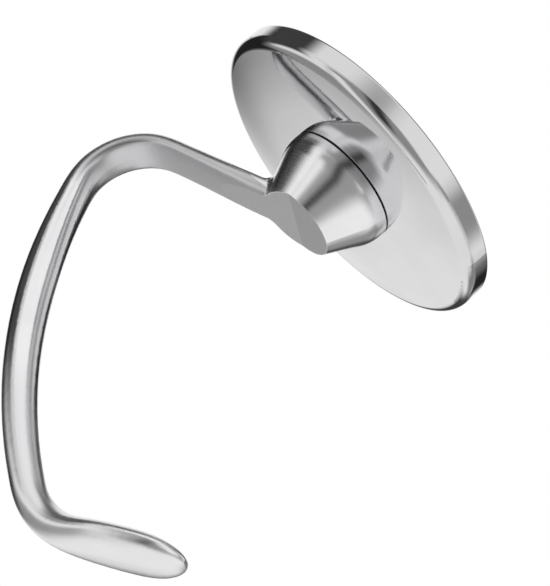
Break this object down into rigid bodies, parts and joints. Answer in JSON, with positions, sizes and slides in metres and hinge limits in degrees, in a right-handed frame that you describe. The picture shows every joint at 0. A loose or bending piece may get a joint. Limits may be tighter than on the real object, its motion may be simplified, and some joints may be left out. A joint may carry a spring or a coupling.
{
  "type": "dough hook",
  "caption": "Polished C-shaped dough hook with a tapered hub, a dished guard above it and a blind drive socket with a bayonet pin slot that locks onto a stand mixer's shaft.",
  "frame": {"origin": "centre of the drive socket's mouth", "axes": "+Z out of the socket's mouth along the bore, the hook in the XZ plane with its arm towards -X"},
  "size_m": [0.126, 0.0992, 0.1525],
  "materials": {
    "polished_casting": "polished rod, satin turned hub",
    "mirror_sheet": "mirror polished"
  },
  "bodies": {
    "root": {"hook": "polished_casting", "dough_collar": "mirror_sheet"}
  },
  "joints": []
}
